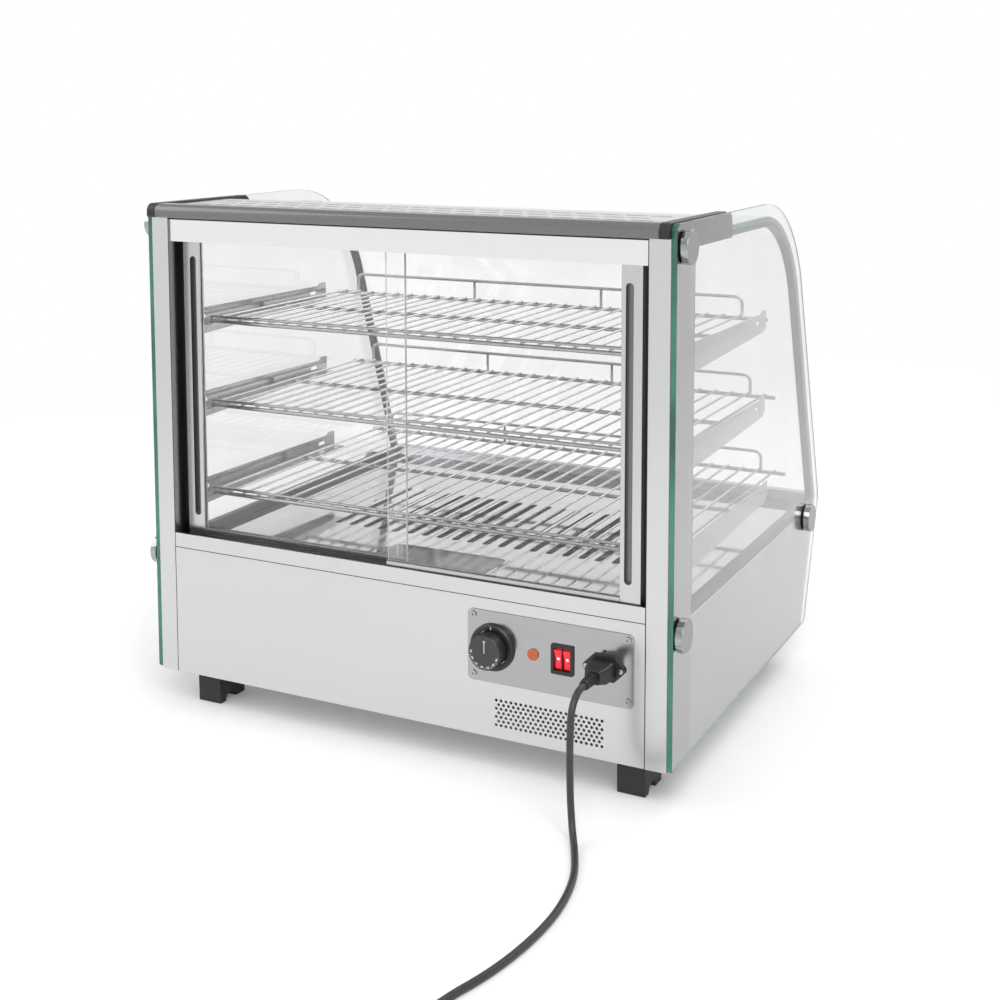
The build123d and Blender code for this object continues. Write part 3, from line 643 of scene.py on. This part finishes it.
@dataclass
class Workshop:
    """Makes the finished pieces and hands them to the frame."""

    nodes: dict[str, Object]
    body_of: dict[str, str]
    slot_of: dict[str, str]
    made: dict[Finish, Material] = field(default_factory=dict)

    @classmethod
    def from_frame(cls, frame: dict) -> "Workshop":
        """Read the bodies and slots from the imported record."""
        record = frame["record"]
        bodies = record["behaviour"]["bodies"]
        return cls(
            nodes=frame["nodes"],
            body_of={node: body for body, nodes in bodies.items() for node in nodes},
            slot_of={part["node"]: part["material_slot"] for part in record["subparts"]},
        )

    def material(self, finish: Finish) -> Material:
        """The finish's material, made once."""
        if finish not in self.made:
            self.made[finish] = finish.build()
        return self.made[finish]

    def copy(self, node: str) -> BMesh:
        """Copy a part's mesh, with its triangles merged into whole faces."""
        shape = bmesh.new()
        shape.from_mesh(self.nodes[node].data)
        bmesh.ops.remove_doubles(shape, verts=shape.verts, dist=SAME_CORNER)
        bmesh.ops.dissolve_limit(
            shape,
            angle_limit=math.radians(FLAT_DEG),
            verts=shape.verts,
            edges=shape.edges,
            delimit={"NORMAL"},
        )
        return shape

    def piece(
        self,
        name: str,
        shape: BMesh,
        finishes: Finish | list[Finish],
        stands_for: tuple[str, ...] = (),
        body: str = "cabinet",
    ) -> Object:
        """Turn a mesh into a finished piece of the cabinet.

        Args:
            name: the piece's name.
            shape: its mesh, which is freed.
            finishes: one finish, or one for each material number of the faces.
            stands_for: the parts that it replaces; their body is taken.
            body: the body that it rides on, where it replaces nothing.

        Returns:
            The piece's object.
        """
        mesh = bpy.data.meshes.new(name)
        shape.to_mesh(mesh)
        shape.free()
        mesh.polygons.foreach_set("use_smooth", [True] * len(mesh.polygons))
        mesh.set_sharp_from_angle(angle=math.radians(CRISP_DEG))
        for finish in finishes if isinstance(finishes, list) else [finishes]:
            mesh.materials.append(self.material(finish))
        obj = bpy.data.objects.new(name, mesh)
        bpy.context.scene.collection.objects.link(obj)
        weights = obj.modifiers.new("even shading", "WEIGHTED_NORMAL")
        weights.keep_sharp = True
        if stands_for:
            body = self.body_of[stands_for[0]]
            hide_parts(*stands_for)
        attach(obj, body)
        LOG.info("%s: %d faces", name, len(mesh.polygons))
        return obj

    def soften(
        self,
        node: str,
        finishes: Finish | list[Finish],
        round_mm: float,
        segments: int = 2,
        pick: Callable[[BMFace], int] | None = None,
        longer_mm: float = 0.0,
    ) -> Object:
        """Replace a part by a copy whose edges are rounded as the real one's are.

        Args:
            node: the part.
            finishes: as piece() takes them.
            round_mm: radius of the edges, or 0 to leave them.
            segments: faces across each rounding.
            pick: gives each face's material number.
            longer_mm: only edges longer than this are rounded.

        Returns:
            The piece's object.
        """
        shape = self.copy(node)
        if round_mm:
            sharp = [
                edge
                for edge in shape.edges
                if len(edge.link_faces) == 2
                and edge.calc_face_angle(0.0) > math.radians(ROUNDED_DEG)
                and edge.calc_length() > longer_mm * MM
            ]
            bmesh.ops.bevel(
                shape,
                geom=sharp,
                offset=round_mm * MM,
                offset_type="OFFSET",
                segments=segments,
                profile=0.5,
                affect="EDGES",
                clamp_overlap=True,
                material=-1,
            )
        if pick:
            shape.normal_update()
            for face in shape.faces:
                face.material_index = pick(face)
        return self.piece(f"{node}_finished", shape, finishes, stands_for=(node,))

@dataclass
class SupplyCord:
    """The supply cord: one line from the connector, down, along the table and into its coil."""

    diameter_mm: float = 7.5
    length_m: float = 1.8
    exit_mm: Triple = (-263.0, 334.3, 150.0)
    table_mm: float = 3.85
    coil_mm: tuple[float, float] = (-330.0, 732.3)
    coil_radius_mm: float = 51.0
    turn_step_mm: float = 4.15
    layer_mm: float = 8.3
    inward: int = 5
    outward: int = 4
    steps: int = 8

    def tail(self) -> list[Triple]:
        """The free tail's points: out of the connector, down under its weight, and along the table."""
        x, y, z = self.exit_mm
        low = self.table_mm
        lead_x = self.coil_mm[0] + self.coil_radius_mm
        return [
            (x, y, z),
            (x, y + 11, z),
            (x, y + 21, z - 4.5),
            (x, y + 28.5, z - 12),
            (x, y + 33, z - 23),
            (x + 0.5, y + 34, z - 62),
            (x, y + 33, z - 104),
            (x - 1.5, y + 34, z - 121),
            (x - 4.5, y + 38.5, z - 133.5),
            (x - 9, y + 45.5, z - 142),
            (x - 15, y + 56, low),
            (x - 37, y + 104, low),
            (x - 48, y + 160, low),
            (x - 48, y + 216, low),
            (x - 38, y + 282, low),
            (lead_x, y + 345, low),
            (lead_x, self.coil_mm[1] - self.diameter_mm, low),
        ]

    def coil(self) -> list[Triple]:
        """The coil's turns: half circles that wind in, climb one layer, and wind out on top."""
        x, y = self.coil_mm[0] + self.coil_radius_mm, self.coil_mm[1]
        z = self.table_mm
        radius = self.coil_radius_mm
        points = []
        # Control points stand outside the curve that they pull, by this much
        bulge = 1 / math.cos(math.pi / self.steps / 2)
        for half in range(self.inward + 1 + self.outward):
            sign = 1 if half % 2 == 0 else -1
            climb = self.layer_mm if half == self.inward else 0.0
            centre_x = x - sign * radius
            for step in range(self.steps):
                angle = math.pi * step / self.steps
                points.append(
                    (
                        centre_x + sign * radius * bulge * math.cos(angle),
                        y + sign * radius * bulge * math.sin(angle),
                        z + climb * step / self.steps,
                    )
                )
            x = centre_x - sign * radius
            z += climb
            radius += self.turn_step_mm * (1 if half >= self.inward else -1)
        points.append((x, y, z))
        points.append((x, y + self.diameter_mm, z))
        return points

    def build(self, shop: Workshop) -> Object:
        line = bpy.data.curves.new("supply_cord", "CURVE")
        line.dimensions = "3D"
        line.resolution_u = 5
        line.bevel_depth = self.diameter_mm / 2 * MM
        line.bevel_resolution = 5
        line.use_fill_caps = True
        points = self.tail() + self.coil()
        spline = line.splines.new("NURBS")
        spline.points.add(len(points) - 1)
        for place, point in zip(spline.points, points):
            place.co = (*(value * MM for value in point), 1.0)
        spline.order_u = 3
        spline.use_endpoint_u = True
        line.materials.append(shop.material(Finishes.SHEATH))
        cord = bpy.data.objects.new("supply_cord", line)
        bpy.context.scene.collection.objects.link(cord)
        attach(cord, "cabinet")
        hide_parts("cord_tail", "cord_coil")
        connector = self.connector(shop)
        plug = shop.soften("mains_plug", Finishes.FITTING, 0.8)
        return cord

    def connector(self, shop: Workshop) -> Object:
        """The appliance connector with its moulded grip and ribbed strain relief."""
        return shop.soften("connector", Finishes.FITTING, 0.5)


@dataclass
class GlassHousing:
    """Side glasses, curved front glass, door panes and the knobs that hold the sides."""

    # The rounded corners along each glass's edges
    arris_mm: float = 0.7
    front_arris_mm: float = 0.4
    pane_arris_mm: float = 0.3
    knob_round_mm: float = 0.6
    # Where the front glass's foot and its rear edge begin, and how far out the knobs' washers reach
    front_end_mm: float = 203.9
    rear_end_mm: float = 148.9
    washer_mm: float = 340.6
    # Shares of a unit normal: along an axis, and turned away from it
    square_on: float = 0.95
    turned_away: float = 0.3

    def build(self, shop: Workshop) -> None:
        """Make every pane, with its clear faces and green edges."""
        for side in Side:
            shop.soften(
                f"side_glass_{side.word}",
                [Finishes.SIDE_GLASS, Finishes.GLASS_EDGE],
                self.arris_mm,
                pick=lambda face: int(abs(face.normal.x) < self.turned_away),
            )
            shop.soften(
                f"glass_knobs_{side.word}",
                [Finishes.KNOB_SIDE, Finishes.KNOB_FACE, Finishes.SEAL],
                self.knob_round_mm,
                segments=3,
                pick=self.knob_part,
            )
        shop.soften(
            "front_glass",
            [Finishes.GLASS, Finishes.GLASS_EDGE],
            self.front_arris_mm,
            pick=self.is_front_edge,
        )
        for door in ("outer", "inner"):
            shop.soften(
                f"door_{door}_glass",
                [Finishes.GLASS, Finishes.PANE_EDGE],
                self.pane_arris_mm,
                pick=lambda face: int(abs(face.normal.y) < self.square_on),
            )

    def knob_part(self, face: BMFace) -> int:
        """2 on a knob's washer and stud, 1 on its satin face, 0 on its polished side."""
        if abs(face.calc_center_median().x) < self.washer_mm * MM:
            return 2
        return int(abs(face.normal.x) > self.square_on)

    def is_front_edge(self, face: BMFace) -> int:
        """1 on the front glass's four narrow edges, 0 on its faces."""
        middle = face.calc_center_median()
        at_side = abs(face.normal.x) > self.turned_away
        at_foot = middle.z < self.front_end_mm * MM
        at_top = middle.y > self.rear_end_mm * MM
        return int(at_side or at_foot or at_top)


@dataclass
class Carcass:
    """Sheet-metal base, posts, side bars, top and feet."""

    # Rounded corners: sheet ends, folds, extrusions and mouldings, and the seam over the rear panel
    sheet_mm: float = 0.25
    fold_mm: float = 0.3
    bar_mm: float = 0.6
    moulded_mm: float = 0.8
    seam_mm: float = 0.6
    seam_longer_mm: float = 60.0
    # Joints between sheets on the rear face: their width, height and places
    joint_mm: float = 0.8
    joint_x_mm: float = 308.35
    joint_proud_mm: float = 0.04
    joint_thick_mm: float = 0.06
    sill_mm: float = 204.0
    post_mm: tuple[float, float] = (46.0, 609.5)
    # Dark strip under the bull-nose, painted shadow of its overhang: height and thickness, and its middle's
    # height and depth
    strip_mm: tuple[float, float] = (2.2, 1.2)
    strip_place_mm: tuple[float, float] = (608.4, -1.5)
    # Fins that close the gap between a shut door and its post: side, then depth and inner edge
    fins_mm: tuple[tuple[int, float, float], ...] = ((-1, 16.2, 292.0), (1, 30.1, 297.0))
    fin_height_mm: float = 406.0
    fin_long_mm: float = 384.0
    fin_thick_mm: float = 1.0
    across: tuple[str, ...] = ("front_panel", "top_plate")

    def build(self, shop: Workshop) -> None:
        """Round the visible parts' edges and dress the hidden ones."""
        shop.soften("base_pan", Finishes.SHEET_ACROSS, 0.0)
        for node in ("rear_panel", "sill"):
            shop.soften(node, Finishes.SHEET_ACROSS, self.seam_mm, longer_mm=self.seam_longer_mm)
        for node in self.across:
            shop.soften(node, Finishes.SHEET_ACROSS, self.sheet_mm)
        shop.soften("header", Finishes.SHEET_BRIGHT, self.sheet_mm)
        for side in Side:
            shop.soften(
                f"rear_post_{side.word}",
                [Finishes.SHEET_UPRIGHT, Finishes.POST_SIDE],
                self.fold_mm,
                pick=self.is_post_side,
            )
            shop.soften(f"side_panel_{side.word}", Finishes.SHEET_DEEP, self.sheet_mm)
            shop.soften(f"side_frame_{side.word}", Finishes.BAR, self.bar_mm)
            shop.soften(f"end_cap_{side.word}", Finishes.ABS, self.moulded_mm, segments=3)
            for row in ("rear", "front"):
                shop.soften(f"foot_{row}_{side.word}", Finishes.FOOT, self.moulded_mm)
        shop.soften("front_rail", Finishes.RAIL, self.fold_mm)
        shop.soften("bull_nose", Finishes.NOSE, self.fold_mm)
        shop.soften("deck", Finishes.DECK, 0.0)
        shop.soften("water_tray", Finishes.DECK, self.sheet_mm)
        self.seams(shop)
        self.fins(shop)
        shop.soften("heating_element", Finishes.ELEMENT, 0.0)
        shop.soften("heater_straps", Finishes.BRACKET, 0.0)

    @staticmethod
    def is_post_side(face: BMFace) -> int:
        """1 on a post's faces towards the cabinet's sides, which take the painted shade, 0 elsewhere."""
        return int(abs(face.normal.x) > 0.5)

    def seams(self, shop: Workshop) -> None:
        """Dark joints between the sheets of the rear face, and a dark strip under the bull-nose that paints
        the shadow of its overhang.
        """
        width = 2 * self.joint_x_mm
        low, high = self.post_mm
        proud, thick = self.joint_proud_mm, self.joint_thick_mm
        joints = [slab((width, self.joint_mm, thick), operator_face(0.0, self.sill_mm, proud))]
        for side in Side:
            place = operator_face(side.value * self.joint_x_mm, (low + high) / 2, proud)
            joints.append(slab((self.joint_mm, high - low, thick), place))
        shop.piece("sheet_joints", gather(joints), Finishes.SHADOW_GAP)
        # The dark strip is painted shadow, cast by the bull-nose's overhang on the header
        strip = slab((width, *self.strip_mm), operator_face(0.0, *self.strip_place_mm), 0.3)
        shop.piece("bull_nose_strip", strip, Finishes.SEAL)

    def fins(self, shop: Workshop) -> None:
        """Narrow fins on the posts, behind each shut door's outer edge."""
        fins = []
        for side, depth, inner in self.fins_mm:
            across = (inner + self.joint_x_mm) / 2
            place = operator_face(side * across, self.fin_height_mm, -depth)
            size = (self.joint_x_mm - inner, self.fin_long_mm, self.fin_thick_mm)
            fins.append(slab(size, place, 0.2))
        shop.piece("door_fins", gather(fins), Finishes.BAR)


@dataclass
class SlidingDoors:
    """Profiles, rails and rollers of the two doors."""

    # Each door's depth behind the rear face, and where its groove's faces lie across it and into it
    doors_mm: tuple[tuple[str, float], ...] = (("outer", 4.3), ("inner", 18.0))
    groove_x_mm: tuple[float, float] = (281.9, 291.1)
    groove_in_mm: tuple[float, float] = (1.0, 6.0)
    handle_round_mm: float = 0.35
    rail_round_mm: float = 0.3

    def build(self, shop: Workshop) -> None:
        """Finish both doors."""
        for door, depth in self.doors_mm:
            shop.soften(
                f"door_{door}_handle",
                [Finishes.HANDLE, Finishes.GROOVE],
                self.handle_round_mm,
                pick=lambda face, depth=depth: self.in_groove(face, depth),
            )
            shop.soften(f"door_{door}_rail", Finishes.RAIL, self.rail_round_mm)
            shop.soften(f"door_{door}_rollers", Finishes.ABS, self.rail_round_mm)

    def in_groove(self, face: BMFace, depth_mm: float) -> int:
        """1 on the faces of a handle's finger groove, which take the painted shade, 0 elsewhere."""
        middle = face.calc_center_median() / MM
        inward = REAR_Y / MM - depth_mm - middle.y
        across = self.groove_x_mm[0] < abs(middle.x) < self.groove_x_mm[1]
        return int(across and self.groove_in_mm[0] < inward < self.groove_in_mm[1])


@dataclass
class ShelfStack:
    """Chromed wire shelves on pressed brackets."""

    levels: tuple[str, ...] = ("top", "middle", "bottom")
    bracket_round_mm: float = 0.25

    def build(self, shop: Workshop) -> None:
        """Finish each shelf and its two brackets."""
        for level in self.levels:
            shop.soften(f"shelf_{level}", Finishes.CHROME, 0.0)
            for side in Side:
                shop.soften(f"bracket_{level}_{side.word}", Finishes.BRACKET, self.bracket_round_mm)


@dataclass
class ControlPanel:
    """Plate, thermostat, pilot lamp, rocker switch, inlet and screws."""

    height_mm: float = 150.0
    knob_x_mm: float = -129.7
    cap_proud_mm: float = 22.5
    number_radius_mm: float = 15.9
    first_deg: float = 180.0
    step_deg: float = 27.0
    numbers: tuple[str, ...] = ("30", "40", "50", "60", "70", "80", "90")
    tick_radius_mm: float = 17.4
    digit_mm: float = 3.9
    ink_mm: float = 0.1
    pointer_mm: tuple[float, float] = (0.8, 11.5)
    tick_mm: tuple[float, float] = (0.5, 1.6)
    index_mm: tuple[float, float, float] = (0.8, 3.4, 0.12)
    # The index line's height over the knob's axis, and how far it stands off the rear face
    index_place_mm: tuple[float, float] = (22.7, 6.2)
    rockers: tuple[tuple[str, float], ...] = (("left", -208.9), ("right", -219.3))
    # The neon spot's section as (radius, height), its tilt with the rocker and its place off the face
    spot_mm: tuple[tuple[float, float], ...] = ((0, 0.35), (0.9, 0.32), (1.5, 0.18), (1.75, 0.0), (0, 0.0))
    spot_tilt_deg: float = 9.0
    spot_proud_mm: float = 0.55
    # Rounded corners: screws, fine edges, mouldings and soft mouldings
    screw_mm: float = 0.25
    fine_mm: float = 0.3
    moulded_mm: float = 0.4
    soft_mm: float = 0.5
    square_on: float = 0.95

    def build(self, shop: Workshop) -> None:
        """Finish the plate and everything on it."""
        shop.soften("control_plate", Finishes.PLATE, self.fine_mm)
        shop.soften("panel_screws", Finishes.SCREW, self.screw_mm)
        shop.soften("thermostat_body", Finishes.ABS, self.moulded_mm)
        shop.soften("knob_bezel", Finishes.ABS, self.moulded_mm)
        shop.soften(
            "thermostat_knob",
            [Finishes.ABS, Finishes.CAP_FACE],
            self.fine_mm,
            pick=lambda face: int(face.normal.y > self.square_on),
        )
        shop.soften("pilot_lamp", Finishes.LAMP, self.fine_mm)
        shop.soften("switch_housing", Finishes.ABS, self.moulded_mm)
        shop.soften("inlet", Finishes.ABS, self.soft_mm)
        self.scale(shop)
        self.index(shop)
        for word, x in self.rockers:
            shop.soften(f"rocker_{word}", Finishes.ROCKER, self.soft_mm, segments=3)
            self.spot(shop, word, x)

    def on_cap(self, angle_deg: float, radius_mm: float, turn_deg: float) -> Matrix:
        """Place on the cap's face at an angle, anticlockwise from the operator's right."""
        angle = math.radians(angle_deg)
        return (
            operator_face(self.knob_x_mm, self.height_mm, self.cap_proud_mm + self.ink_mm / 2)
            @ Matrix.Translation((radius_mm * MM * math.cos(angle), radius_mm * MM * math.sin(angle), 0))
            @ Matrix.Rotation(math.radians(turn_deg), 4, "Z")
        )

    def scale(self, shop: Workshop) -> None:
        """White pointer with its ring, and the numbers with a tick between each two."""
        shapes = [
            slab((*self.pointer_mm, self.ink_mm), self.on_cap(90.0, 5.6, 0.0)),
            lathe(
                [(0.75, -0.05), (1.35, -0.05), (1.35, 0.05), (0.75, 0.05), (0.75, -0.05)],
                self.on_cap(90.0, 12.6, 0.0),
                steps=24,
            ),
        ]
        for count, text in enumerate(self.numbers):
            angle = self.first_deg + count * self.step_deg
            place = self.on_cap(angle, self.number_radius_mm, angle - 90.0)
            shapes.append(numeral(text, self.digit_mm, place))
            if count:
                half = angle - self.step_deg / 2
                place = self.on_cap(half, self.tick_radius_mm, half - 90.0)
                shapes.append(slab((*self.tick_mm, self.ink_mm), place))
        shop.piece("dial_print", gather(shapes), Finishes.PRINT, body="knob")

    def index(self, shop: Workshop) -> None:
        """White index line on the bezel, above the cap."""
        above, proud = self.index_place_mm
        place = operator_face(self.knob_x_mm, self.height_mm + above, proud)
        shop.piece("bezel_index", slab(self.index_mm, place), Finishes.PRINT)

    def spot(self, shop: Workshop, word: str, x: float) -> None:
        """The lamp's bright spot seen in a lit rocker."""
        tilt = Matrix.Rotation(math.radians(self.spot_tilt_deg), 4, "X")
        place = operator_face(x, self.height_mm, self.spot_proud_mm) @ tilt
        shape = lathe(self.spot_mm, place, steps=24)
        shop.piece(f"rocker_{word}_spot", shape, Finishes.GLOW, body=f"rocker_{word[0]}")


@dataclass
class Studio:
    """Table, light and camera."""

    camera_m: Triple = (-0.855183, 1.7029, 0.752622)
    yaw_deg: float = 26.681
    pitch_deg: float = 5.816
    roll_deg: float = -0.086
    lens_mm: float = 53.948
    shift: float = -0.25
    sensor_mm: float = 36.0
    floor_m: float = 16.0
    # The floor turns to plain white between these distances from the cabinet's middle
    fade_m: tuple[float, float] = (0.9, 2.6)
    near_white: float = 0.1
    sky: float = 0.62
    softbox_m: float = 2.4
    middle_m: Triple = (0.0, 0.0, 0.3)

    def build(self) -> None:
        """Set the whole studio."""
        self.add_camera()
        self.add_floor()
        self.add_world()
        self.add_lamp("key_softbox", (-1.7, 2.6, 2.9), 95.0)
        self.add_lamp("fill_softbox", (2.6, 1.4, 2.0), 32.0)
        self.add_lamp("front_softbox", (-0.6, -2.6, 2.6), 40.0)
        bpy.context.scene.view_settings.view_transform = "Standard"

    def add_camera(self) -> None:
        """Stand the camera where the photograph was taken."""
        data = bpy.data.cameras.new("camera")
        data.lens = self.lens_mm
        data.sensor_width = self.sensor_mm
        data.sensor_fit = "HORIZONTAL"
        data.shift_y = self.shift
        data.clip_start = 0.05
        camera = bpy.data.objects.new("camera", data)
        camera.matrix_world = (
            Matrix.Translation(self.camera_m)
            @ Matrix.Rotation(math.radians(180 + self.yaw_deg), 4, "Z")
            @ Matrix.Rotation(math.radians(90 - self.pitch_deg), 4, "X")
            @ Matrix.Rotation(math.radians(self.roll_deg), 4, "Z")
        )
        bpy.context.scene.collection.objects.link(camera)
        bpy.context.scene.camera = camera

    def add_floor(self) -> None:
        """Plain white table top, which fades into the backdrop."""
        shape = bmesh.new()
        bmesh.ops.create_grid(shape, x_segments=8, y_segments=8, size=self.floor_m / 2)
        mesh = bpy.data.meshes.new("floor")
        shape.to_mesh(mesh)
        shape.free()
        mesh.materials.append(self.floor_material())
        floor = bpy.data.objects.new("floor", mesh)
        bpy.context.scene.collection.objects.link(floor)

    def floor_material(self) -> Material:
        """Matt white that keeps the cabinet's shadow and turns to plain white far off."""
        material = bpy.data.materials.new("white table top")
        material.use_nodes = True
        tree = material.node_tree
        tree.nodes.clear()
        grain = streaks(tree, (40.0, 40.0, 40.0), detail=2.0)
        paint = tones(tree, grain, {NOISE_LOW: "#F8F8F8", NOISE_HIGH: "#FAFAFA"})
        matt = add_node(tree, "ShaderNodeBsdfDiffuse", {"Color": paint})
        white = add_node(tree, "ShaderNodeEmission", {"Color": linear("#FFFFFF"), "Strength": 1.0})
        coords = add_node(tree, "ShaderNodeTexCoord").outputs["Object"]
        away = add_node(tree, "ShaderNodeVectorMath", {0: coords}, operation="LENGTH").outputs["Value"]
        fade = add_node(
            tree,
            "ShaderNodeMapRange",
            {
                "Value": away,
                "From Min": self.fade_m[0],
                "From Max": self.fade_m[1],
                "To Min": self.near_white,
                "To Max": 1.0,
            },
        )
        share = add_node(
            tree, "ShaderNodeMath", {0: fade.outputs["Result"], 1: self.seen(tree)}, operation="MULTIPLY"
        )
        mixed = add_node(
            tree,
            "ShaderNodeMixShader",
            {0: share.outputs["Value"], 1: matt.outputs["BSDF"], 2: white.outputs["Emission"]},
        )
        add_node(tree, "ShaderNodeOutputMaterial", {"Surface": mixed.outputs["Shader"]})
        return material

    @staticmethod
    def seen(tree: NodeTree) -> NodeSocket:
        """1 for rays that show the backdrop: straight ones, mirrored ones and those through glass."""
        path = add_node(tree, "ShaderNodeLightPath").outputs
        some = add_node(
            tree, "ShaderNodeMath", {0: path["Is Camera Ray"], 1: path["Is Glossy Ray"]}, operation="MAXIMUM"
        )
        more = add_node(
            tree,
            "ShaderNodeMath",
            {0: some.outputs["Value"], 1: path["Is Transmission Ray"]},
            operation="MAXIMUM",
        )
        return more.outputs["Value"]

    def add_world(self) -> None:
        """White backdrop that metal and glass mirror, and a softer level that lights the object."""
        world = bpy.data.worlds.new("studio")
        world.use_nodes = True
        tree = world.node_tree
        tree.nodes.clear()
        direction = add_node(tree, "ShaderNodeTexCoord").outputs["Generated"]
        height = add_node(tree, "ShaderNodeSeparateXYZ", {0: direction}).outputs["Z"]
        dome = tones(tree, height, {0.0: "#FFFFFF", 0.25: "#F4F4F4", 0.55: "#C4C4C4", 0.9: "#ECECEC"})
        path = add_node(tree, "ShaderNodeLightPath").outputs
        mirrored = add_node(
            tree, "ShaderNodeMath", {0: path["Glossy Depth"], 1: 0.5}, operation="GREATER_THAN"
        )
        white = add_node(tree, "ShaderNodeBackground", {"Color": linear("#FFFFFF"), "Strength": 1.0})
        gloss = add_node(tree, "ShaderNodeBackground", {"Color": dome, "Strength": 1.0})
        light = add_node(tree, "ShaderNodeBackground", {"Color": linear("#FFFFFF"), "Strength": self.sky})
        shown = add_node(
            tree,
            "ShaderNodeMixShader",
            {0: mirrored.outputs["Value"], 1: white.outputs["Background"], 2: gloss.outputs["Background"]},
        )
        mixed = add_node(
            tree,
            "ShaderNodeMixShader",
            {0: self.seen(tree), 1: light.outputs["Background"], 2: shown.outputs["Shader"]},
        )
        add_node(tree, "ShaderNodeOutputWorld", {"Surface": mixed.outputs["Shader"]})
        bpy.context.scene.world = world

    def add_lamp(self, name: str, place: Triple, watts: float) -> None:
        """Hang a square softbox aimed at the cabinet's middle."""
        data = bpy.data.lights.new(name, "AREA")
        data.size = self.softbox_m
        data.energy = watts
        lamp = bpy.data.objects.new(name, data)
        aim = Vector(self.middle_m) - Vector(place)
        lamp.matrix_world = Matrix.Translation(place) @ aim.to_track_quat("-Z", "Y").to_matrix().to_4x4()
        bpy.context.scene.collection.objects.link(lamp)


def main() -> None:
    """Build the cabinet's looks in order."""
    logging.basicConfig(level=logging.INFO, format="%(name)s: %(message)s")
    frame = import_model()
    shop = Workshop.from_frame(frame)
    Studio().build()
    SupplyCord().build(shop)
    for section in (GlassHousing(), Carcass(), SlidingDoors(), ShelfStack(), ControlPanel()):
        section.build(shop)
        LOG.info("%s done", type(section).__name__)


if __name__ == "__main__":
    main()
